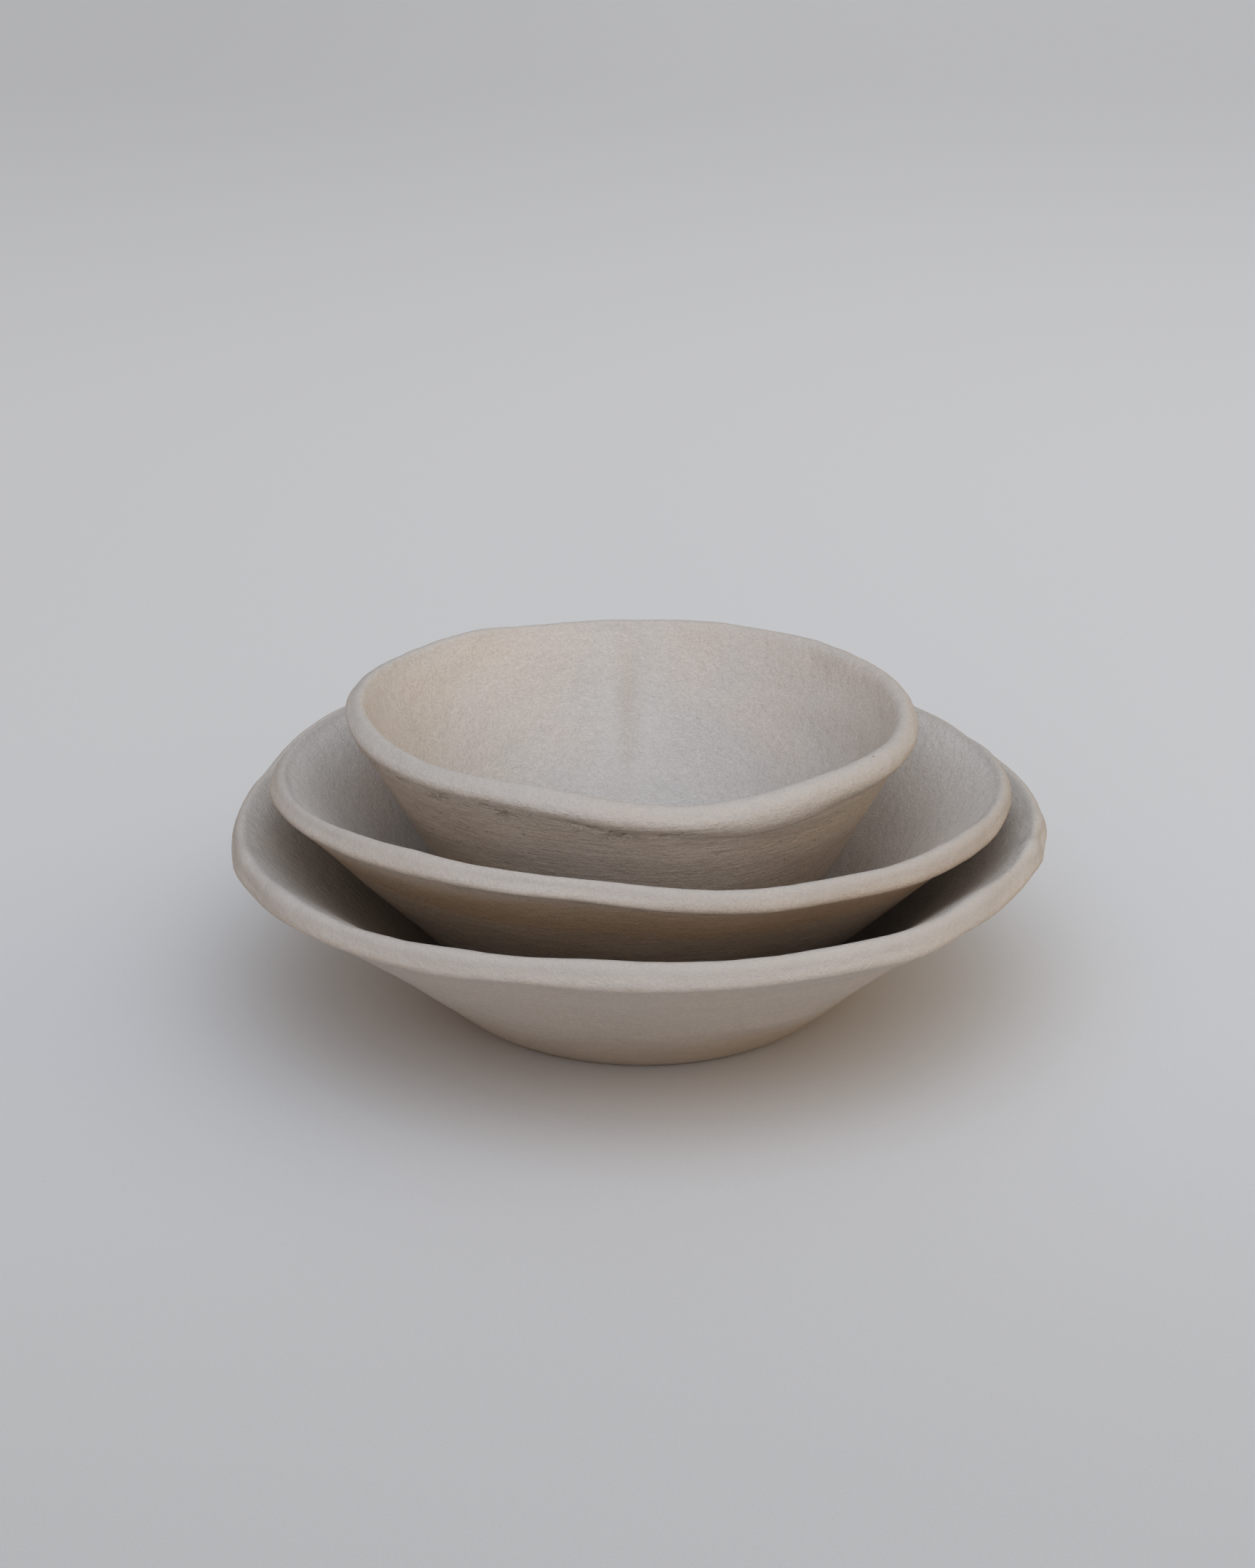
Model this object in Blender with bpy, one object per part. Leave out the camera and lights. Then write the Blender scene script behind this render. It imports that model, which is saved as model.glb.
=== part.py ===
"""Three hand-built clay bowls, nested one inside the other at rest.

Each bowl is one piece of unglazed clay: a flat foot, a flared wall and a fat, rolled lip.
They were shaped by hand, so no lip is quite round and no lip is quite level.
Named sizes are in millimetres and angles in degrees. Blender's own units are metres.
X points right, Y points back and Z points up, from the middle of the large bowl's foot.
Angles run anticlockwise seen from above, from X, so 270 is the front.
"""

import math
from dataclasses import dataclass

import bmesh
import bpy
from mathutils import Vector

MM = 0.001
SEGMENTS = 72  # steps round a bowl
REST_GAP = 0.3  # between a foot and the floor that it stands on

FOOT_BREAK = 2.0  # the flat under a foot stops this short of the foot's edge
FOOT_FOLLOWS_LIP = 0.5  # the foot repeats this share of the lip's out-of-roundness
OUTER_RISES = (0.05, 0.2, 0.42, 0.64, 0.84, 0.95)  # rings up the outside, foot 0 to lip 1
INNER_RISES = (0.92, 0.74, 0.52, 0.3)  # rings down the inside
LIP_STEPS = 6  # rings over the roll of the lip, less one
FLOOR_ROUND = 4.0  # the rounding between wall and floor starts this far from their corner
FLOOR_ROUND_STEPS = (0.0, 0.5, 1.0)  # rings along that rounding
FLOOR_RINGS = (0.6,)  # rings on the floor, as shares of its flat radius
FLOOR_DISH = 0.5  # the middle of a floor is this much lower than its edge


@dataclass
class Bowl:
    """One bowl. Its waves are (how many go round, their size, the angle of a crest)."""

    name: str
    foot_radius: float
    foot_centre: tuple
    foot_height: float  # above the surface that the nest stands on
    floor: float  # thickness under the hollow
    wall: float  # thickness between floor and lip
    lip: float  # diameter of the rolled edge, which stands out past the wall's outside
    lip_radius: float  # to the middle of the rolled edge
    lip_centre: tuple
    lip_height: float  # of the middle of the rolled edge, above the bowl's own foot
    bow: float  # how far the middle of the wall stands out from a straight cone
    radius_waves: tuple
    height_waves: tuple
    lip_waves: tuple  # in the diameter of the rolled edge
    presses: tuple  # on the lip: (angle, spread, how far in, how far up)
    colour: tuple


LARGE = Bowl(
    name="large_bowl",
    foot_radius=50.0,
    foot_centre=(0.0, 0.0),
    foot_height=0.0,
    floor=7.0,
    wall=6.2,
    lip=7.0,
    lip_radius=106.3,
    lip_centre=(-1.7, -0.4),
    lip_height=52.4,
    bow=-1.2,
    radius_waves=((2, 0.4, 85), (3, 0.4, -8), (4, 0.3, 36), (5, 0.3, -10)),
    height_waves=((1, 1.8, 83), (2, 0.9, -64), (3, 0.4, 10), (4, 0.4, -44), (5, 0.3, -15)),
    lip_waves=((2, 0.3, 90),),
    presses=((-100, 14, 1.6, 0.6), (-51, 9, -1.3, -0.8), (146, 12, -0.6, 1.3)),
    colour=(0.56, 0.52, 0.48, 1.0),
)
MEDIUM = Bowl(
    name="medium_bowl",
    foot_radius=43.0,
    foot_centre=(-1.5, 0.0),
    foot_height=LARGE.foot_height + LARGE.floor + REST_GAP,
    floor=6.5,
    wall=5.8,
    lip=6.4,
    lip_radius=95.1,
    lip_centre=(-0.3, -0.9),
    lip_height=56.5,
    bow=-1.0,
    radius_waves=((2, 0.5, -20), (3, 0.4, -43), (4, 0.2, 12), (5, 0.2, -12)),
    height_waves=((1, 3.0, -125), (2, 1.0, 70), (3, 0.6, -8), (4, 0.4, -28), (5, 0.2, -19)),
    lip_waves=((1, 0.5, 0),),
    presses=((-98, 10, 1.0, 0.5), (-62, 9, 0.8, 0.5)),
    colour=(0.57, 0.53, 0.49, 1.0),
)
SMALL = Bowl(
    name="small_bowl",
    foot_radius=38.0,
    foot_centre=(-1.8, 0.0),
    foot_height=MEDIUM.foot_height + MEDIUM.floor + REST_GAP,
    floor=6.5,
    wall=6.0,
    lip=7.0,
    lip_radius=72.8,
    lip_centre=(-2.9, 0.2),
    lip_height=66.2,
    bow=0.3,
    radius_waves=((2, 0.3, -50), (3, 0.4, 43)),
    height_waves=((1, 1.6, 158), (2, 1.0, 19), (3, 0.2, -47), (4, 0.2, -25), (5, 0.3, 27)),
    lip_waves=((1, 0.8, -10),),
    presses=((-108, 16, 1.6, 1.0), (-48, 14, 1.0, 0.6), (126, 18, -0.5, 1.2)),
    colour=(0.58, 0.53, 0.49, 1.0),
)
BOWLS = (LARGE, MEDIUM, SMALL)


def waves_at(waves, angle):
    """The sum of the waves at an angle in radians."""
    return sum(
        size * math.cos(count * (angle - math.radians(crest))) for count, size, crest in waves
    )


def outwards(direction):
    """The unit vector across a direction in the (radius, height) plane, pointing out and down."""
    return Vector((direction.y, -direction.x)).normalized()


def pressed_at(bowl, angle):
    """How far the lip is pressed in, and how far up, at an angle in radians."""
    moved = Vector((0.0, 0.0))
    for middle, spread, inward, upward in bowl.presses:
        away = math.remainder(angle - math.radians(middle), 2 * math.pi)
        moved += Vector((inward, upward)) * math.exp(-((away / math.radians(spread)) ** 2))
    return moved


def lip_diameter(bowl, angle):
    """The diameter of the rolled edge at an angle."""
    return bowl.lip + waves_at(bowl.lip_waves, angle)


def foot_edge(bowl, angle):
    """The outside corner of the foot at an angle, before its edge is broken."""
    return Vector((bowl.foot_radius + FOOT_FOLLOWS_LIP * waves_at(bowl.radius_waves, angle), 0.0))


def wall_middle(bowl, angle):
    """The middle of the wall at an angle, as the three points of a quadratic curve."""
    edge = foot_edge(bowl, angle)
    inward, upward = pressed_at(bowl, angle)
    lip_centre = Vector(
        (
            bowl.lip_radius + waves_at(bowl.radius_waves, angle) - inward,
            bowl.lip_height + waves_at(bowl.height_waves, angle) + upward,
        )
    )
    out = outwards(lip_centre - edge)
    start = edge - out * bowl.wall / 2
    end = lip_centre - out * (lip_diameter(bowl, angle) - bowl.wall) / 2
    return start, (start + end) / 2 + out * 2 * bowl.bow, end


def along(curve, rise):
    """The point at a rise from 0 to 1 on a quadratic curve, and the direction there."""
    start, middle, end = curve
    point = start * (1 - rise) ** 2 + middle * 2 * rise * (1 - rise) + end * rise**2
    direction = (middle - start) * (1 - rise) + (end - middle) * rise
    return point, direction.normalized()


def wall_skin(bowl, curve, rise, side):
    """A point on the wall's surface, outside for side 1 and inside for side -1."""
    point, direction = along(curve, rise)
    return point + outwards(direction) * side * bowl.wall / 2


def lip_roll(bowl, curve, lip):
    """The roll of the lip, from the crease under it outside, over the top, to the wall inside."""
    end, direction = along(curve, 1.0)
    out = outwards(direction)
    centre = end + out * (lip - bowl.wall) / 2
    overhang = math.acos(2 * bowl.wall / lip - 1)
    turn = (math.pi + overhang) / LIP_STEPS
    angles = [step * turn - overhang for step in range(LIP_STEPS + 1)]
    return [centre + (out * math.cos(a) + direction * math.sin(a)) * lip / 2 for a in angles]


def floor_round(bowl, curve):
    """The rounding from the inside of the wall into the floor, which ends on the flat."""
    low = wall_skin(bowl, curve, INNER_RISES[-1], -1)
    direction = (low - wall_skin(bowl, curve, 0.0, -1)).normalized()
    corner = low - direction * (low.y - bowl.floor) / direction.y
    rounding = (corner + direction * FLOOR_ROUND, corner, corner - Vector((FLOOR_ROUND, 0.0)))
    return [along(rounding, step)[0] for step in FLOOR_ROUND_STEPS]


def profile(bowl, angle):
    """The (radius, height) points of the bowl's section at an angle, foot to middle of floor."""
    curve = wall_middle(bowl, angle)
    points = [foot_edge(bowl, angle) - Vector((FOOT_BREAK, 0.0))]
    points += [wall_skin(bowl, curve, rise, 1) for rise in OUTER_RISES]
    points += lip_roll(bowl, curve, lip_diameter(bowl, angle))
    points += [wall_skin(bowl, curve, rise, -1) for rise in INNER_RISES]
    points += floor_round(bowl, curve)
    flat = points[-1]
    for share in FLOOR_RINGS:
        points.append(Vector((flat.x * share, flat.y - FLOOR_DISH * (1 - share))))
    return points


def place(bowl, angle, point):
    """A profile point in the bowl's own space, in metres. The bowl's axis leans with its lip."""
    lean = point.y / bowl.lip_height
    x = bowl.lip_centre[0] - bowl.foot_centre[0]
    y = bowl.lip_centre[1] - bowl.foot_centre[1]
    return MM * Vector(
        (x * lean + point.x * math.cos(angle), y * lean + point.x * math.sin(angle), point.y)
    )


def bowl_mesh(bowl):
    """The bowl as a closed skin of rings, with a flat face under it and one in its middle."""
    angles = [2 * math.pi * step / SEGMENTS for step in range(SEGMENTS)]
    shape = bmesh.new()
    columns = [
        [shape.verts.new(place(bowl, angle, point)) for point in profile(bowl, angle)]
        for angle in angles
    ]
    rings = list(zip(*columns, strict=True))
    for lower, upper in zip(rings, rings[1:]):
        for step in range(SEGMENTS):
            after = (step + 1) % SEGMENTS
            shape.faces.new((lower[step], lower[after], upper[after], upper[step]))
    underside = shape.faces.new(rings[0][::-1])
    for edge in underside.edges:
        edge.smooth = False
    shape.faces.new(rings[-1])
    mesh = bpy.data.meshes.new(bowl.name)
    shape.to_mesh(mesh)
    shape.free()
    mesh.shade_smooth()
    return mesh


def clay(bowl):
    """Dry, unglazed clay."""
    material = bpy.data.materials.new(bowl.name + "_clay")
    material.use_nodes = True
    shader = material.node_tree.nodes["Principled BSDF"]
    shader.inputs["Base Color"].default_value = bowl.colour
    shader.inputs["Roughness"].default_value = 0.9
    shader.inputs["Metallic"].default_value = 0.0
    return material


def add_bowl(bowl, parent):
    """The bowl as an object on its own foot, carried by the bowl that it stands in."""
    mesh = bowl_mesh(bowl)
    mesh.materials.append(clay(bowl))
    made = bpy.data.objects.new(bowl.name, mesh)
    bpy.context.scene.collection.objects.link(made)
    made.location = MM * Vector((*bowl.foot_centre, bowl.foot_height))
    if parent:
        bpy.context.view_layer.update()
        made.parent = parent
        made.matrix_parent_inverse = parent.matrix_world.inverted()
    return made


def main():
    for old in list(bpy.data.objects):
        bpy.data.objects.remove(old)
    carrier = None
    for bowl in BOWLS:
        carrier = add_bowl(bowl, carrier)


main()
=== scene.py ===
"""The looks of a nest of three hand-built, unglazed clay bowls.

Each bowl starts from its CAD solid. Its rings are made into quads and subdivided, and then its
surface is pushed in and out as a potter's fingers and scraper would, without changing its size.
Handwork is given in millimetres. Materials, floor and camera are given in metres, in the frame
of the CAD model. Angles run anticlockwise seen from above, from X, so -90 is the front.
"""

import collections
import math
from dataclasses import dataclass

import bmesh
import bpy
import numpy as np
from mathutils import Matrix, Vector, noise


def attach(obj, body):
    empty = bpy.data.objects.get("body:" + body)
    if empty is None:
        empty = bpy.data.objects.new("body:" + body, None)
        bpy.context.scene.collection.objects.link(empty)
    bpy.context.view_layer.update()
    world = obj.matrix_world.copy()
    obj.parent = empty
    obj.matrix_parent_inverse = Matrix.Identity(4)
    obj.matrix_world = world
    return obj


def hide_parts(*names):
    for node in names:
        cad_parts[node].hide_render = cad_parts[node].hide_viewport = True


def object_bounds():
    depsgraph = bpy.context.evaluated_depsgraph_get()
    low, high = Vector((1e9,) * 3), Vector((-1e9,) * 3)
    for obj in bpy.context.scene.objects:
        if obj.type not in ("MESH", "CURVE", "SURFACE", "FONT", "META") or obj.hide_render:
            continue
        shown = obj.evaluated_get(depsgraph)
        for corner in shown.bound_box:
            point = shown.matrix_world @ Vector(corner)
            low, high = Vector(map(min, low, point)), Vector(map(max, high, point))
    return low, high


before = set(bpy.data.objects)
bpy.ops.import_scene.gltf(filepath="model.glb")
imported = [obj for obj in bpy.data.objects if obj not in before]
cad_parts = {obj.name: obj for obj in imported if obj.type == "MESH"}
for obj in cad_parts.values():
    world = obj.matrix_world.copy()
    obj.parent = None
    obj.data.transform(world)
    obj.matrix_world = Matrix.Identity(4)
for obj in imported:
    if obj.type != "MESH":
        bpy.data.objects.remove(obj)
CAD_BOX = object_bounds()

MM = 0.001

# ---------------------------------------------------------------------------------------------
# The rings of a CAD bowl, counted from the foot's edge, up the outside, over and down the inside
# ---------------------------------------------------------------------------------------------
FOOT_RING = 1
CREASE_RING = 7  # under the lip, outside
LIP_EDGE_RING = 8.5  # the lower, outer edge of the lip
LIP_FACE_RING = 10.0  # the middle of the band that faces outwards
LIP_ROLL_RING = 11.0  # half way over the lip
LIP_TOP_RING = 11.8
LIP_INNER_RING = 13  # where the lip meets the inside of the wall
FLOOR_RING = 19

WELD = 1e-5  # corners nearer to each other than this are one
LEVEL = 1e-6  # a face whose corners differ less than this in height is level
QUAD_BEND = math.radians(60)  # two triangles bent less than this may make one quad
QUAD_SKEW = math.radians(90)  # a quad's corners may be this far from square
SUBDIVISIONS = 3


def level(face):
    """True where a face lies level."""
    heights = [v.co.z for v in face.verts]
    return max(heights) - min(heights) < LEVEL


def quad_shell(node):
    """The CAD bowl as rings of quads, with one level face under the foot and one in the floor."""
    shell = bmesh.new()
    shell.from_mesh(node.data)
    bmesh.ops.remove_doubles(shell, verts=shell.verts, dist=WELD)
    level_faces = [face for face in shell.faces if level(face)]
    bmesh.ops.dissolve_faces(shell, faces=level_faces)
    triangles = [face for face in shell.faces if len(face.verts) == 3]
    bmesh.ops.join_triangles(
        shell,
        faces=triangles,
        angle_face_threshold=QUAD_BEND,
        angle_shape_threshold=QUAD_SKEW,
        topology_influence=1.0,
    )
    return shell


def number_rings(shell):
    """Writes each vertex's ring, counted from the foot's edge, into the attribute "ring"."""
    underside = min(shell.faces, key=lambda face: face.calc_center_median().z)
    ring = shell.verts.layers.float.new("ring")
    queue = collections.deque((v, 0) for v in underside.verts)
    seen = set(underside.verts)
    while queue:
        vertex, count = queue.popleft()
        vertex[ring] = count
        for edge in vertex.link_edges:
            other = edge.other_vert(vertex)
            if other not in seen:
                seen.add(other)
                queue.append((other, count + 1))
    crease = shell.edges.layers.float.new("crease_edge")
    for edge in underside.edges:
        edge[crease] = 1.0


def subdivided(node, name):
    """A new object of the bowl's smooth, fine mesh."""
    shell = quad_shell(node)
    number_rings(shell)
    coarse = bpy.data.meshes.new(name)
    shell.to_mesh(coarse)
    shell.free()
    piece = bpy.data.objects.new(name, coarse)
    bpy.context.scene.collection.objects.link(piece)
    smooth = piece.modifiers.new("smooth", "SUBSURF")
    smooth.levels = SUBDIVISIONS
    smooth.render_levels = SUBDIVISIONS
    graph = bpy.context.evaluated_depsgraph_get()
    fine = bpy.data.meshes.new_from_object(piece.evaluated_get(graph))
    piece.modifiers.clear()
    piece.data = fine
    bpy.data.meshes.remove(coarse)
    return piece


# ---------------------------------------------------------------------------------------------
# The marks of handwork on each bowl
# ---------------------------------------------------------------------------------------------
@dataclass
class Patch:
    """A soft-edged patch of the surface: angle in degrees, height and sizes in millimetres."""

    angle: float
    height: float
    across: float
    tall: float
    amount: float  # how far it stands out in millimetres, or how strong its colour is
    inside: bool = False


@dataclass
class Handwork:
    """How one bowl's surface departs from its smooth shape. Depths are in millimetres."""

    seed: float  # moves the lumps, so that no two bowls match
    waves: float  # long, low unevenness of the walls
    thumbs: float  # presses of fingertips
    ripple: float  # pinches along the lip
    band: float  # how much the lip's outer face is flattened into a band
    fill: float  # clay smeared into the crease under the lip
    tears: float  # ragged tears in that crease
    dents: tuple
    warm_shade: tuple  # patches painted warmer and browner: painted shade under the lip, low in the bowls and on walls in shadow
    pinches: tuple  # on the lip, all at about its height
    smears: tuple = ()  # where the lip is smoothed down into the wall
    pale: tuple = ()  # patches painted paler, in the colour of dust


LARGE_WORK = Handwork(
    seed=3.1,
    waves=0.45,
    thumbs=0.2,
    ripple=0.5,
    band=0.45,
    fill=0.45,
    tears=0.2,
    dents=(
        Patch(angle=-64, height=20, across=16, tall=3, amount=0.5),
        Patch(angle=-52, height=45, across=22, tall=3, amount=0.7),
        Patch(angle=-58, height=39, across=26, tall=3, amount=-0.5),
        Patch(angle=-128, height=36, across=20, tall=10, amount=0.4),
        Patch(angle=-95, height=30, across=30, tall=10, amount=-0.3),
        Patch(angle=-30, height=44, across=14, tall=4, amount=0.6),
    ),
    # painted warm shade low on the front wall near the floor, and low inside round the medium bowl
    warm_shade=(
        Patch(angle=-70, height=7, across=70, tall=8, amount=0.5),
        Patch(angle=-145, height=20, across=70, tall=18, amount=1.0, inside=True),
        Patch(angle=-30, height=18, across=50, tall=14, amount=0.7, inside=True),
    ),
    pinches=(
        Patch(angle=-147, height=52, across=9, tall=40, amount=0.8),
        Patch(angle=-132, height=52, across=8, tall=40, amount=-0.8),
        Patch(angle=-116, height=52, across=9, tall=40, amount=0.7),
        Patch(angle=-162, height=52, across=6, tall=40, amount=0.6),
        Patch(angle=-38, height=52, across=7, tall=40, amount=0.5),
        Patch(angle=-27, height=52, across=12, tall=40, amount=-0.8),
        Patch(angle=-17, height=52, across=5, tall=40, amount=1.0),
        Patch(angle=-12, height=52, across=5, tall=40, amount=-0.5),
        Patch(angle=-6, height=52, across=5, tall=40, amount=0.7),
        Patch(angle=166, height=52, across=9, tall=40, amount=-0.5),
    ),
)
MEDIUM_WORK = Handwork(
    seed=11.7,
    waves=0.35,
    thumbs=0.18,
    ripple=0.4,
    band=0.45,
    fill=0.1,
    tears=0.2,
    dents=(
        Patch(angle=-150, height=42, across=16, tall=10, amount=0.5),
        Patch(angle=-40, height=40, across=24, tall=10, amount=0.4),
    ),
    # painted warm shade under the lip and over the front wall, and low inside on the right
    warm_shade=(
        Patch(angle=-88, height=58, across=150, tall=8, amount=1.0),
        Patch(angle=-92, height=42, across=160, tall=14, amount=0.7),
        Patch(angle=-25, height=26, across=40, tall=14, amount=0.5, inside=True),
    ),
    pinches=(
        Patch(angle=-152, height=60, across=10, tall=40, amount=-0.5),
        Patch(angle=-125, height=60, across=9, tall=40, amount=0.4),
        Patch(angle=-70, height=60, across=12, tall=40, amount=-0.4),
        Patch(angle=-33, height=60, across=10, tall=40, amount=0.5),
        Patch(angle=20, height=60, across=10, tall=40, amount=-0.5),
    ),
)
SMALL_WORK = Handwork(
    seed=23.9,
    waves=0.4,
    thumbs=0.3,
    ripple=0.4,
    band=0.25,
    fill=0.45,
    tears=0.6,
    dents=(
        Patch(angle=-147, height=66, across=12, tall=12, amount=0.9),
        Patch(angle=-56, height=73.5, across=20, tall=3.5, amount=0.9),
        Patch(angle=-74, height=62, across=16, tall=10, amount=0.8),
        Patch(angle=-46, height=64, across=14, tall=12, amount=0.7),
        Patch(angle=-100, height=58, across=24, tall=8, amount=-0.5),
        Patch(angle=92, height=60, across=5, tall=26, amount=-0.4, inside=True),
        Patch(angle=84, height=66, across=4, tall=20, amount=0.35, inside=True),
    ),
    # painted warm shade on the outer walls and, faintly, inside, where one lies in the groove at
    # the back
    warm_shade=(
        Patch(angle=-40, height=50, across=30, tall=20, amount=0.45),
        Patch(angle=-142, height=52, across=26, tall=20, amount=0.45),
        Patch(angle=-90, height=50, across=110, tall=20, amount=0.4),
        Patch(angle=165, height=55, across=26, tall=18, amount=0.15, inside=True),
        Patch(angle=91, height=60, across=3, tall=16, amount=0.25, inside=True),
    ),
    pinches=(
        Patch(angle=-135, height=75, across=10, tall=40, amount=-0.4),
        Patch(angle=-60, height=75, across=14, tall=40, amount=0.5),
        Patch(angle=-20, height=75, across=9, tall=40, amount=-0.4),
        Patch(angle=50, height=75, across=14, tall=40, amount=0.15),
    ),
    smears=(
        Patch(angle=-62, height=72, across=20, tall=16, amount=1.0),
        Patch(angle=-20, height=72, across=12, tall=16, amount=0.6),
    ),
    pale=(
        Patch(angle=97, height=62, across=3, tall=16, amount=0.8, inside=True),
        Patch(angle=86, height=55, across=5, tall=22, amount=0.8, inside=True),
    ),
)

# ---------------------------------------------------------------------------------------------
# Working the mesh
# ---------------------------------------------------------------------------------------------
@dataclass
class Lumps:
    """Smooth unevenness, in millimetres. The shift sets one kind of lumps apart from another."""

    size: object  # how long a lump is, as one number or as one for each axis
    shift: float
    depth: float = 1.0


WALL_WAVES = Lumps(size=36, shift=0)
THUMB_PRESSES = Lumps(size=(16, 16, 8), shift=1)
SKIN_LUMPS = Lumps(size=4.5, shift=2, depth=0.06)
LIP_RIPPLE = Lumps(size=(21, 21, 50), shift=3)
LIP_LUMPS = Lumps(size=7, shift=4, depth=0.16)
LIP_CRUMBS = Lumps(size=3.5, shift=12, depth=0.08)
BAND_CHANGES = Lumps(size=(24, 24, 60), shift=9, depth=0.7)
TORN_STRETCHES = Lumps(size=(11, 11, 40), shift=5)
TORN_EDGES = Lumps(size=3, shift=6, depth=0.4)
TORN_FLAKES = Lumps(size=(3.5, 3.5, 1.6), shift=11, depth=2)
CREASE_WANDER = Lumps(size=(17, 17, 50), shift=7)  # in rings
CREASE_JITTER = Lumps(size=(5, 5, 20), shift=10, depth=0.4)  # in rings

INSIDE_FADE = 3  # rings from the lip's face to where the surface counts as inside
FLOOR_FADE = 2  # rings before the floor over which the handwork dies away

# How a pinched lip departs from a round bead: (ring, width in rings, how far it stands out)
LIP_BAND = (
    (LIP_EDGE_RING, 0.7, 1.0),
    (LIP_FACE_RING, 0.9, -0.9),
    (LIP_TOP_RING, 0.7, 0.45),
    (LIP_INNER_RING, 0.8, -0.4),
)
# Places on the section as (ring, width in rings)
PINCHED = (LIP_ROLL_RING, 2.2)
RIPPLED = (LIP_FACE_RING + 0.3, 2.3)
# the lip zone, painted darker as painted shade on its lit top
LIP_ZONE = (LIP_FACE_RING + 0.6, 2.0)
FILLED = (CREASE_RING - 0.2, 1.0)
SMEARED = (CREASE_RING + 0.2, 1.1)
SMEAR_DEPTH = 0.7

TORN_SIDE = math.radians(-108)  # the tears are deepest here
TORN_SPREAD = 0.75  # to either side of it, in radians
TORN_ELSEWHERE = 0.3  # their depth elsewhere, as a share
TORN_WIDTH = 0.6  # in rings
TORN_SHARE = 0.6  # more than 0.5 tears most of the crease
TORN_CONTRAST = 2  # how abruptly the tears begin and end
TORN_SHADE_PER_DEPTH = 2  # how strong their painted shade is for their depth in millimetres


def bump(value, width):
    """1 at 0, falling smoothly to 0 at about twice the width."""
    return np.exp(-((value / width) ** 2))


def read_mesh(mesh):
    """(places in millimetres, outward normals, rings) of a mesh's vertices."""
    count = len(mesh.vertices)
    places = np.empty(count * 3)
    mesh.vertices.foreach_get("co", places)
    normals = np.empty(count * 3)
    mesh.vertex_normals.foreach_get("vector", normals)
    rings = np.empty(count)
    mesh.attributes["ring"].data.foreach_get("value", rings)
    return places.reshape(-1, 3) / MM, normals.reshape(-1, 3), rings


class Skin:
    """The vertices of a bowl, and where on the bowl each one is."""

    def __init__(self, mesh, seed):
        self.mesh = mesh
        self.seed = seed
        self.places, self.normals, self.rings = read_mesh(mesh)
        middle = (self.places.min(axis=0) + self.places.max(axis=0)) / 2
        from_middle = self.places - middle
        self.angle = np.arctan2(from_middle[:, 1], from_middle[:, 0])
        self.radius = np.hypot(from_middle[:, 1], from_middle[:, 0])
        self.inside = np.clip((self.rings - LIP_FACE_RING) / INSIDE_FADE, 0, 1)
        self.outside = 1 - self.inside

    def uneven(self, lumps):
        """Smooth noise from -depth to depth at each vertex."""
        scaled = self.places / np.asarray(lumps.size) + (self.seed + lumps.shift)
        return lumps.depth * np.array([noise.noise(Vector(point)) for point in scaled])

    def near(self, ring, width):
        """1 on a ring, falling to 0 away from it."""
        return bump(self.rings - ring, width)

    def spot(self, patch):
        """How far into a patch each vertex is, from 0 to 1."""
        turned = self.angle - math.radians(patch.angle)
        around = np.arctan2(np.sin(turned), np.cos(turned)) * self.radius
        return bump(around, patch.across) * bump(self.places[:, 2] - patch.height, patch.tall)

    def patches(self, patches):
        """The sum of patches, each on its own side of the wall."""
        total = np.zeros(len(self.rings))
        for patch in patches:
            side = self.inside if patch.inside else self.outside
            total += patch.amount * self.spot(patch) * side
        return total

    def pinches(self, patches):
        """The sum of patches that go round the lip from one side to the other."""
        return self.near(*PINCHED) * sum(patch.amount * self.spot(patch) for patch in patches)

    def mark(self, name, values):
        """Writes a zone for the material, from 0 to 1."""
        layer = self.mesh.attributes.new(name, "FLOAT", "POINT")
        layer.data.foreach_set("value", np.clip(values, 0, 1))


def lip_shape(skin, work):
    """The lip as a pinched, flattened band instead of a round bead."""
    band = sum(amount * skin.near(ring, width) for ring, width, amount in LIP_BAND)
    band *= 1 + skin.uneven(BAND_CHANGES)
    smeared = skin.patches(work.smears)
    fill = work.fill * skin.near(*FILLED) + SMEAR_DEPTH * smeared * skin.near(*SMEARED)
    ripple = work.ripple * skin.uneven(LIP_RIPPLE)
    ripple += skin.uneven(LIP_LUMPS) + skin.uneven(LIP_CRUMBS)
    return work.band * band * (1 - smeared) + fill + skin.near(*RIPPLED) * ripple


def torn_crease(skin, work):
    """Depth of the ragged tears where the lip was folded over: 0 where there is none."""
    wander = skin.uneven(CREASE_WANDER) + skin.uneven(CREASE_JITTER)
    line = bump(skin.rings - CREASE_RING + wander, TORN_WIDTH)
    torn = skin.uneven(TORN_STRETCHES) + skin.uneven(TORN_EDGES)
    torn = np.clip(TORN_CONTRAST * torn + TORN_SHARE, 0, 1)
    side = bump(skin.angle - TORN_SIDE, TORN_SPREAD)
    depth = TORN_ELSEWHERE + (1 - TORN_ELSEWHERE) * side
    whole = 1 - skin.patches(work.smears)
    return skin.outside * whole * line * torn * depth


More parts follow.
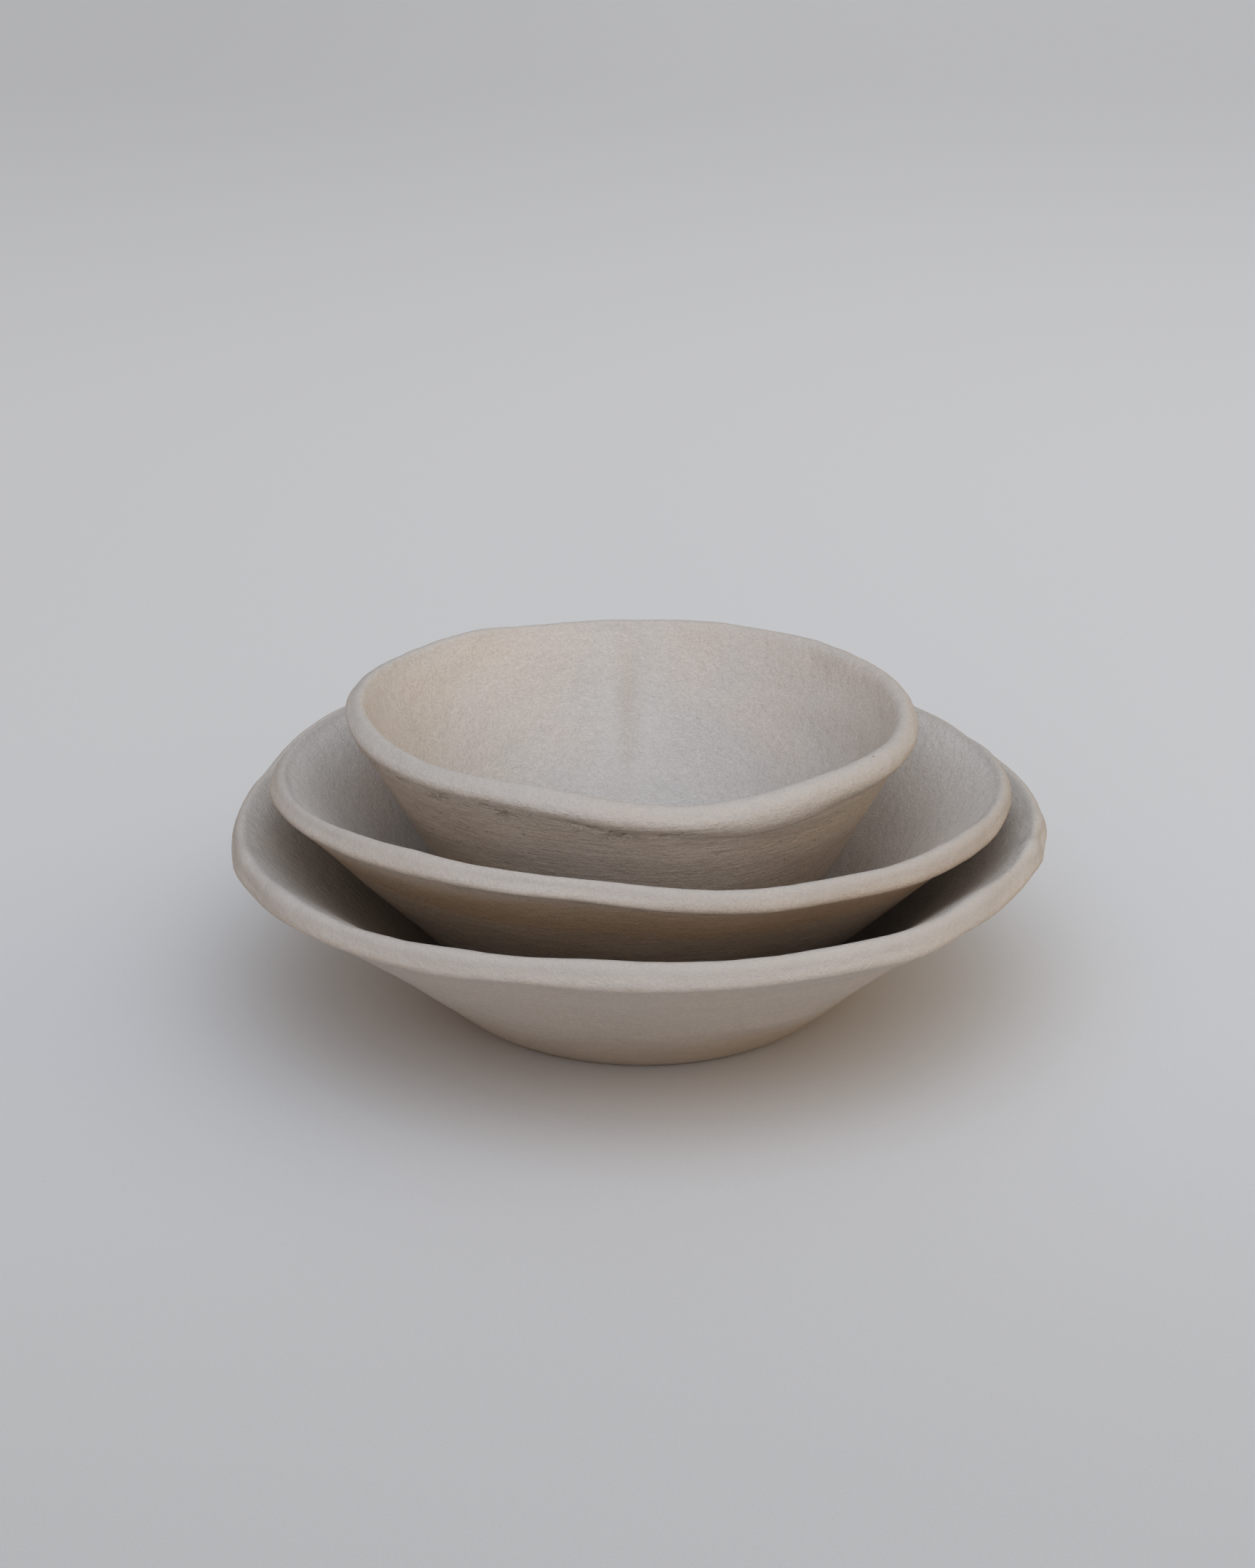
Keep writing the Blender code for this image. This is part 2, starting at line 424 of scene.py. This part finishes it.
def handwork(piece, work):
    """Moves the vertices of a bowl along their normals, and marks its zones for its material."""
    skin = Skin(piece.data, work.seed)
    moved = work.waves * skin.uneven(WALL_WAVES) + work.thumbs * skin.uneven(THUMB_PRESSES)
    moved += skin.uneven(SKIN_LUMPS) + lip_shape(skin, work)
    moved += skin.patches(work.dents) + skin.pinches(work.pinches)
    tears = torn_crease(skin, work)
    moved -= work.tears * tears * np.abs(skin.uneven(TORN_FLAKES))
    rings = skin.rings
    free = np.clip(rings - FOOT_RING, 0, 1) * np.clip((FLOOR_RING - rings) / FLOOR_FADE, 0, 1)
    places = skin.places + skin.normals * (moved * free)[:, None]

    mesh = piece.data
    mesh.vertices.foreach_set("co", (places * MM).ravel())
    mesh.attributes.remove(mesh.attributes["ring"])
    skin.mark("inside", skin.inside)
    # the lip, where its lit top gets painted shade and no scrape marks lie
    skin.mark("lip", skin.near(*LIP_ZONE))
    # the tears, for their relief and their painted shade
    skin.mark("tears", tears * min(1.0, TORN_SHADE_PER_DEPTH * work.tears))
    skin.mark("pale", skin.patches(work.pale))
    # painted warm shade: where the brown patches lie
    skin.mark("warm_shade", skin.patches(work.warm_shade))
    mesh.shade_smooth()
    mesh.update()


# ---------------------------------------------------------------------------------------------
# Short ways to add shader nodes
# ---------------------------------------------------------------------------------------------
@dataclass
class Pattern:
    """Noise in a material: the size of its lumps in metres, and how it differs from others."""

    size: tuple
    shift: float = 0.0
    detail: float = 2.0
    roughness: float = 0.5


PATTERN_SHIFT = (1.0, 1.7, 0.6)  # the way that a shift moves a pattern
SPECK_CORE = 0.4  # a speck is darkest within this share of its radius
# The sockets of a Mix node that it uses for colours
MIX_FACTOR, MIX_FIRST, MIX_SECOND, MIX_RESULT = 0, 6, 7, 2


class Nodes:
    """The nodes of a material or a sky."""

    def __init__(self, tree):
        self.tree = tree

    def add(self, kind, **settings):
        node = self.tree.nodes.new(kind)
        for name, value in settings.items():
            setattr(node, name, value)
        return node

    def link(self, source, target):
        self.tree.links.new(source, target)

    def put(self, socket, value):
        """Sets a socket to a plain value, or links another socket to it."""
        if isinstance(value, bpy.types.NodeSocket):
            self.link(value, socket)
        else:
            socket.default_value = value

    def maths(self, operation, first, second):
        node = self.add("ShaderNodeMath", operation=operation)
        self.put(node.inputs[0], first)
        self.put(node.inputs[1], second)
        return node.outputs["Value"]

    def times(self, first, second):
        return self.maths("MULTIPLY", first, second)

    def plus(self, first, second):
        return self.maths("ADD", first, second)

    def without(self, value):
        """1 less a value."""
        return self.maths("SUBTRACT", 1.0, value)

    def vectors(self, operation, first, second):
        node = self.add("ShaderNodeVectorMath", operation=operation)
        self.put(node.inputs[0], first)
        self.put(node.inputs[1], second)
        return node

    def scaled(self, vector, strength):
        """A vector made longer or shorter by a strength."""
        node = self.add("ShaderNodeVectorMath", operation="SCALE")
        self.put(node.inputs[0], vector)
        self.put(node.inputs["Scale"], strength)
        return node.outputs["Vector"]


class MaterialNodes(Nodes):
    """The nodes of one material, with its patterns and zones."""

    def __init__(self, name):
        self.material = bpy.data.materials.new(name)
        self.material.use_nodes = True
        super().__init__(self.material.node_tree)
        self.shader = self.tree.nodes["Principled BSDF"]
        self.coordinates = self.add("ShaderNodeTexCoord").outputs["Object"]

    def stretched(self, size, shift):
        """Object coordinates in which a pattern has this size in metres along each axis."""
        mapping = self.add("ShaderNodeMapping")
        self.link(self.coordinates, mapping.inputs["Vector"])
        mapping.inputs["Scale"].default_value = [1 / s for s in size]
        mapping.inputs["Location"].default_value = [shift * part for part in PATTERN_SHIFT]
        return mapping.outputs["Vector"]

    def cloud(self, pattern, shift=0.0):
        """Noise from about 0 to 1."""
        node = self.add("ShaderNodeTexNoise")
        self.link(self.stretched(pattern.size, shift + pattern.shift), node.inputs["Vector"])
        node.inputs["Scale"].default_value = 1.0
        node.inputs["Detail"].default_value = pattern.detail
        node.inputs["Roughness"].default_value = pattern.roughness
        return node.outputs["Fac"]

    def between(self, value, low, high, new_low=0.0, new_high=1.0):
        """Maps value from low..high to new_low..new_high, smoothly and within those limits."""
        node = self.add("ShaderNodeMapRange", interpolation_type="SMOOTHSTEP")
        self.link(value, node.inputs["Value"])
        node.inputs["From Min"].default_value = low
        node.inputs["From Max"].default_value = high
        node.inputs["To Min"].default_value = new_low
        node.inputs["To Max"].default_value = new_high
        return node.outputs["Result"]

    def mixed(self, factor, first, second, blend="MIX"):
        """Two colours mixed by a factor."""
        node = self.add("ShaderNodeMix", data_type="RGBA", blend_type=blend)
        self.put(node.inputs[MIX_FACTOR], factor)
        self.put(node.inputs[MIX_FIRST], first)
        self.put(node.inputs[MIX_SECOND], second)
        return node.outputs[MIX_RESULT]

    def lightened(self, colour, lightness):
        """A colour times a lightness, where 1 leaves it as it is."""
        tone = self.add("ShaderNodeCombineColor")
        for channel in tone.inputs:
            self.link(lightness, channel)
        return self.mixed(1.0, colour, tone.outputs["Color"], blend="MULTIPLY")

    def mark(self, name):
        """A zone that handwork() wrote on the mesh."""
        return self.add("ShaderNodeAttribute", attribute_name=name).outputs["Fac"]

    def specks(self, spacing, size, share, shift):
        """Small round specks: 1 in a speck and 0 between. Only a share of the cells has one."""
        cells = self.add("ShaderNodeTexVoronoi", feature="F1")
        self.link(self.stretched((spacing,) * 3, shift), cells.inputs["Vector"])
        cells.inputs["Scale"].default_value = 1.0
        parts = self.add("ShaderNodeSeparateColor")
        self.link(cells.outputs["Color"], parts.inputs["Color"])
        chosen = self.maths("LESS_THAN", parts.outputs["Red"], share)
        edge = size / spacing
        return self.times(chosen, self.between(cells.outputs["Distance"], edge, SPECK_CORE * edge))

    def raised(self, height, depth, under=None):
        """Bump from a height of 0 to 1 that stands this deep, in metres."""
        node = self.add("ShaderNodeBump")
        self.link(height, node.inputs["Height"])
        node.inputs["Distance"].default_value = depth
        if under is not None:
            self.link(under, node.inputs["Normal"])
        return node.outputs["Normal"]


# ---------------------------------------------------------------------------------------------
# Materials
# ---------------------------------------------------------------------------------------------
@dataclass
class Clay:
    """The clay of one bowl: its colours, as linear red, green, blue and alpha."""

    plain: tuple
    warm: tuple
    grey: tuple
    shift: float  # moves the patterns, so that no two bowls match
    scraped: float  # how much the outside shows level scrape marks, 0 to 1
    within: float  # painted light: how much lighter the inside is painted than the outside
    lip_shade: float  # how strongly the lip is painted darker, painted shade that tones down its lit top, 0 to 1


LARGE_CLAY = Clay(
    plain=(0.602, 0.544, 0.493, 1),
    warm=(0.612, 0.542, 0.483, 1),
    grey=(0.588, 0.536, 0.491, 1),
    shift=1.3,
    scraped=0.4,
    within=1.02,
    lip_shade=0.75,
)
MEDIUM_CLAY = Clay(
    plain=(0.555, 0.507, 0.470, 1),
    warm=(0.567, 0.505, 0.458, 1),
    grey=(0.54, 0.498, 0.465, 1),
    shift=7.9,
    scraped=0.5,
    within=1.19,
    lip_shade=0.55,
)
SMALL_CLAY = Clay(
    plain=(0.575, 0.530, 0.497, 1),
    warm=(0.588, 0.530, 0.488, 1),
    grey=(0.56, 0.523, 0.495, 1),
    shift=15.2,
    scraped=0.9,
    within=1.03,
    lip_shade=0.42,
)

DARK_SPECK = (0.16, 0.09, 0.05, 1)
DUST = (0.62, 0.585, 0.55, 1)
# painted shade on the lip's lit top
LIP_SHADE = (0.47, 0.435, 0.412, 1)
# the warm brown of the painted shade
WARM_SHADE = (0.42, 0.305, 0.205, 1)
# painted shade in the tears under the lip
TORN_SHADE = (0.33, 0.27, 0.22, 1)

WARM_CLOUDS = Pattern(size=(0.034, 0.034, 0.034), detail=3)
GREY_CLOUDS = Pattern(size=(0.05, 0.05, 0.02), shift=5, detail=4)
DUST_CLOUDS = Pattern(size=(0.03, 0.03, 0.008), shift=9, detail=4)
PORES = Pattern(size=(0.0026, 0.0026, 0.0026), shift=3, detail=3, roughness=0.6)
GRIT = Pattern(size=(0.0009, 0.0009, 0.0009), shift=11, roughness=0.6)
SAND = Pattern(size=(0.0006, 0.0006, 0.0006), detail=3, roughness=0.75)
COARSE_SCRAPES = Pattern(size=(0.028, 0.028, 0.003), shift=2, detail=3, roughness=0.6)
FINE_SCRAPES = Pattern(size=(0.012, 0.012, 0.0008), shift=6, detail=3, roughness=0.7)
CRUMBS = Pattern(size=(0.0035, 0.0035, 0.0014), shift=8, detail=3, roughness=0.6)
TORN_BITS = Pattern(size=(0.005, 0.005, 0.0013), shift=7, detail=4, roughness=0.7)
FIBRES = Pattern(size=(0.0006, 0.0006, 0.0006), detail=3, roughness=0.7)

# The part of each noise's range that shows, and how light or rough it makes the clay there
SAND_RANGE = (0.3, 0.7)
SAND_LIGHTNESS = (0.94, 1.05)
SAND_ROUGHNESS = (0.86, 0.96)
PORE_RANGE = (0.3, 0.6)
PORE_LIGHTNESS = (0.975, 1.005)
GRIT_RANGE = (0.35, 0.65)
GRIT_LIGHTNESS = (0.965, 1.03)
WARM_RANGE = (0.42, 0.68)
GREY_RANGE = (0.48, 0.72)
DUST_RANGE = (0.5, 0.8)
DUST_AMOUNT = (0, 0.3)
DUSTY_SAND = (0.35, 0.6)  # dust lies between the grains of sand
SCRAPE_RANGE = (0.38, 0.62)
SCRAPE_LIGHTNESS = (-0.06, 0.04)
COARSE_SHARE = 0.35
FINE_SHARE = 0.65
CRUMB_RANGE = (0.62, 0.72)
CRUMB_LIGHTNESS = 0.06
CRUMB_HEIGHT = 0.5
TORN_RANGE = (0.5, 0.6)
WITHIN_RANGE = (0.7, 1.0)  # of the mark "inside", over which the painted light of the inside fades in

# How strongly each mark takes its colour, 0 to 1. The warm patches and the tears are painted shade
WARM_SHADE_STRENGTH = 0.8
PALE_STRENGTH = 0.4
TORN_SHADE_STRENGTH = 0.3
SPECK_STRENGTH = 0.75

SPECK_SPACING = 0.012
SPECK_RADIUS = 0.00042
SPECK_SHARE = 0.16

# How deep each pattern is, in metres
SCRAPE_DEPTH = 0.0005
TORN_DEPTH = 0.0006
PORE_DEPTH = 0.0004
SAND_DEPTH = 0.00025
FIBRE_DEPTH = 0.00004

PAPER_ROUGHNESS = 0.9
CLAY_SPECULAR = 0.2


@dataclass
class Marks:
    """The patterns in the clay that both colour and relief show."""

    sand: object
    pores: object
    scraped: object  # the height of the scrape marks
    scraped_lightness: object
    ragged: object  # 1 in the small tears along the crease under the lip, and 0 elsewhere; it sets their relief and their painted shade


def scrape_marks(n, clay):
    """(height, lightness) of level, wandering streaks and small crumbs outside the wall."""
    coarse = n.cloud(COARSE_SCRAPES, clay.shift)
    fine = n.cloud(FINE_SCRAPES, clay.shift)
    both = n.plus(n.times(coarse, COARSE_SHARE), n.times(fine, FINE_SHARE))
    crumbs = n.between(n.cloud(CRUMBS, clay.shift), *CRUMB_RANGE)
    wall = n.times(n.without(n.mark("inside")), n.without(n.mark("lip")))
    scraped = n.times(wall, clay.scraped)
    streaks = n.between(both, *SCRAPE_RANGE, *SCRAPE_LIGHTNESS)
    streaks = n.plus(streaks, n.times(crumbs, CRUMB_LIGHTNESS))
    height = n.times(n.plus(both, n.times(crumbs, CRUMB_HEIGHT)), scraped)
    return height, n.plus(n.times(streaks, scraped), 1.0)


def clay_marks(n, clay):
    """Sand, pores, scrape marks and tears."""
    scraped, scraped_lightness = scrape_marks(n, clay)
    bits = n.between(n.cloud(TORN_BITS, clay.shift), *TORN_RANGE)
    return Marks(
        sand=n.cloud(SAND, clay.shift),
        pores=n.cloud(PORES, clay.shift),
        scraped=scraped,
        scraped_lightness=scraped_lightness,
        ragged=n.times(bits, n.mark("tears")),
    )


def clay_lightness(n, clay, marks):
    """How much lighter or darker than its colour each point is, around 1."""
    sandy = n.between(marks.sand, *SAND_RANGE, *SAND_LIGHTNESS)
    pitted = n.between(marks.pores, *PORE_RANGE, *PORE_LIGHTNESS)
    gritty = n.between(n.cloud(GRIT, clay.shift), *GRIT_RANGE, *GRIT_LIGHTNESS)
    # painted light: the inside of each bowl is painted lighter than its outside
    within = n.between(n.mark("inside"), *WITHIN_RANGE, 1.0, clay.within)
    lightness = n.times(sandy, marks.scraped_lightness)
    for other in (pitted, gritty, within):
        lightness = n.times(lightness, other)
    return lightness


def clay_colour(n, clay, marks):
    """Cloudy clay with sand, dust, faint level streaks, paler patches and specks, and painted
    shade: warm brown patches, darker tears under the lip and a darker lip top; the inside is
    painted lighter.
    """
    warm = n.between(n.cloud(WARM_CLOUDS, clay.shift), *WARM_RANGE)
    grey = n.between(n.cloud(GREY_CLOUDS, clay.shift), *GREY_RANGE)
    colour = n.mixed(warm, clay.plain, clay.warm)
    colour = n.mixed(grey, colour, clay.grey)
    # painted shade: warm brown patches where shade falls
    colour = n.mixed(n.times(n.mark("warm_shade"), WARM_SHADE_STRENGTH), colour, WARM_SHADE)
    colour = n.lightened(colour, clay_lightness(n, clay, marks))
    # painted shade: the lip's lit top painted darker
    colour = n.mixed(n.times(n.mark("lip"), clay.lip_shade), colour, LIP_SHADE)

    dust = n.between(n.cloud(DUST_CLOUDS, clay.shift), *DUST_RANGE, *DUST_AMOUNT)
    dust = n.times(dust, n.between(marks.sand, *DUSTY_SAND))
    pale = n.times(n.mark("pale"), PALE_STRENGTH)
    colour = n.mixed(n.plus(dust, pale), colour, DUST)
    # painted shade in the tears along the crease under the lip
    colour = n.mixed(n.times(marks.ragged, TORN_SHADE_STRENGTH), colour, TORN_SHADE)
    specks = n.specks(SPECK_SPACING, SPECK_RADIUS, SPECK_SHARE, clay.shift)
    return n.mixed(n.times(specks, SPECK_STRENGTH), colour, DARK_SPECK)


def clay_material(name, clay):
    """Dry, matt clay."""
    n = MaterialNodes(name)
    marks = clay_marks(n, clay)
    n.link(clay_colour(n, clay, marks), n.shader.inputs["Base Color"])
    rough = n.between(marks.sand, *SAND_RANGE, *SAND_ROUGHNESS)
    n.link(rough, n.shader.inputs["Roughness"])
    n.shader.inputs["Specular IOR Level"].default_value = CLAY_SPECULAR

    normal = n.raised(marks.scraped, SCRAPE_DEPTH)
    normal = n.raised(n.without(marks.ragged), TORN_DEPTH, under=normal)
    normal = n.raised(marks.pores, PORE_DEPTH, under=normal)
    normal = n.raised(marks.sand, SAND_DEPTH, under=normal)
    n.link(normal, n.shader.inputs["Normal"])
    return n.material


PAPER_DARK = (0.616, 0.599, 0.597, 1)
PAPER_LIGHT = (0.687, 0.669, 0.666, 1)
# Painted shade on the floor: (from, to, lightness there, lightness here), in metres
FLOOR_SHADOW_IN_FRONT = (-0.4, 0.1, 0.84, 1.0)  # along Y: painted shadow in front
FLOOR_SHADE_BEHIND = (0.5, 2.0, 1.0, 0.86)  # along Y: painted shade far behind
FLOOR_SHADE_ACROSS = (-0.5, 0.3, 0.94, 1.01)  # along X: painted shade at the left


def paper_material():
    """The pale, matt floor, with painted shade in front, far behind and at the left."""
    n = MaterialNodes("pale_floor")
    fibres = n.cloud(FIBRES)
    place = n.add("ShaderNodeSeparateXYZ")
    n.link(n.coordinates, place.inputs["Vector"])
    across, depth = place.outputs["X"], place.outputs["Y"]
    shade = n.times(n.between(depth, *FLOOR_SHADOW_IN_FRONT), n.between(depth, *FLOOR_SHADE_BEHIND))
    shade = n.times(shade, n.between(across, *FLOOR_SHADE_ACROSS))
    colour = n.lightened(n.mixed(fibres, PAPER_DARK, PAPER_LIGHT), shade)
    n.link(colour, n.shader.inputs["Base Color"])
    n.shader.inputs["Roughness"].default_value = PAPER_ROUGHNESS
    n.link(n.raised(fibres, FIBRE_DEPTH), n.shader.inputs["Normal"])
    return n.material


# ---------------------------------------------------------------------------------------------
# The bowls
# ---------------------------------------------------------------------------------------------
def make_bowl(node_name, work, clay):
    """One bowl, which stands for its CAD node and moves with its CAD body."""
    piece = subdivided(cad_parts[node_name], node_name + "_clay")
    handwork(piece, work)
    piece.data.materials.clear()
    piece.data.materials.append(clay_material(node_name + "_dry_clay", clay))
    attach(piece, node_name)
    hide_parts(node_name)


make_bowl("large_bowl", LARGE_WORK, LARGE_CLAY)
make_bowl("medium_bowl", MEDIUM_WORK, MEDIUM_CLAY)
make_bowl("small_bowl", SMALL_WORK, SMALL_CLAY)


# ---------------------------------------------------------------------------------------------
# Floor, light and camera
# ---------------------------------------------------------------------------------------------
FLOOR_RADIUS = 60.0
FLOOR_SEGMENTS = 96


def add_floor():
    """A level floor that reaches the horizon, at the height of the large bowl's foot."""
    mesh = bpy.data.meshes.new("floor")
    disc = bmesh.new()
    bmesh.ops.create_circle(disc, cap_ends=True, segments=FLOOR_SEGMENTS, radius=FLOOR_RADIUS)
    disc.to_mesh(mesh)
    disc.free()
    mesh.materials.append(paper_material())
    floor = bpy.data.objects.new("floor", mesh)
    floor.location.z = CAD_BOX[0].z
    bpy.context.scene.collection.objects.link(floor)


@dataclass
class Lobe:
    """A soft patch of light in the sky. Its middle is given in degrees."""

    azimuth: float
    elevation: float
    sharpness: float  # a higher number makes a smaller patch
    colour: tuple  # how bright it is at its middle, as linear red, green and blue


SKY = (
    Lobe(azimuth=270, elevation=50, sharpness=5, colour=(1.86, 2.14, 2.48)),
    Lobe(azimuth=0, elevation=90, sharpness=3, colour=(0.29, 0.33, 0.37)),
    Lobe(azimuth=90, elevation=24, sharpness=5, colour=(0.62, 0.59, 0.54)),
    Lobe(azimuth=0, elevation=40, sharpness=5, colour=(0.46, 0.46, 0.44)),
    Lobe(azimuth=180, elevation=40, sharpness=5, colour=(0.11, 0.10, 0.09)),
    Lobe(azimuth=0, elevation=6, sharpness=9, colour=(1.45, 0.90, 0.20)),
    Lobe(azimuth=270, elevation=8, sharpness=6, colour=(0.75, 0.47, 0.18)),
    Lobe(azimuth=180, elevation=6, sharpness=9, colour=(0.70, 0.40, 0.10)),
)
SKY_STRENGTH = 1.13
BACKDROP = (0.58, 0.573, 0.577, 1)


def lobe_light(n, direction, lobe):
    """The light of one lobe, seen in a direction."""
    azimuth, elevation = math.radians(lobe.azimuth), math.radians(lobe.elevation)
    flat = math.cos(elevation)
    middle = (flat * math.cos(azimuth), flat * math.sin(azimuth), math.sin(elevation))
    facing = n.vectors("DOT_PRODUCT", direction, middle).outputs["Value"]
    strength = n.maths("POWER", n.maths("MAXIMUM", facing, 0.0), lobe.sharpness)
    return n.scaled(lobe.colour, strength)


def add_sky():
    """Soft light from all round, coolest from above the camera, before a plain pale backdrop."""
    world = bpy.data.worlds.new("soft_light")
    bpy.context.scene.world = world
    world.use_nodes = True
    n = Nodes(world.node_tree)
    direction = n.add("ShaderNodeTexCoord").outputs["Generated"]
    total = lobe_light(n, direction, SKY[0])
    for lobe in SKY[1:]:
        total = n.vectors("ADD", total, lobe_light(n, direction, lobe)).outputs["Vector"]
    light = n.tree.nodes["Background"]
    n.link(total, light.inputs["Color"])
    light.inputs["Strength"].default_value = SKY_STRENGTH
    backdrop = n.add("ShaderNodeBackground")
    backdrop.inputs["Color"].default_value = BACKDROP
    either = n.add("ShaderNodeMixShader")
    n.link(n.add("ShaderNodeLightPath").outputs["Is Camera Ray"], either.inputs["Fac"])
    n.link(light.outputs["Background"], either.inputs[1])
    n.link(backdrop.outputs["Background"], either.inputs[2])
    n.link(either.outputs["Shader"], n.tree.nodes["World Output"].inputs["Surface"])


add_floor()
add_sky()

# The camera looks down on the front from a little above, with a long lens.
CAMERA_HEIGHT = 0.3407
CAMERA_DISTANCE = 0.7448
CAMERA_SIDE = -0.0042
CAMERA_PITCH = math.radians(20.63)
LENS_MM = 68.0
SENSOR_MM = 36.0
VIEW_GAMMA = 0.85


def add_camera():
    """The camera, and how the picture turns light into colour."""
    camera = bpy.data.cameras.new("camera")
    camera.lens = LENS_MM
    camera.sensor_width = SENSOR_MM
    holder = bpy.data.objects.new("camera", camera)
    holder.location = (CAMERA_SIDE, -CAMERA_DISTANCE, CAMERA_HEIGHT)
    holder.rotation_euler = (math.pi / 2 - CAMERA_PITCH, 0, 0)
    bpy.context.scene.collection.objects.link(holder)
    bpy.context.scene.camera = holder
    bpy.context.scene.view_settings.view_transform = "Standard"
    bpy.context.scene.view_settings.gamma = VIEW_GAMMA


add_camera()
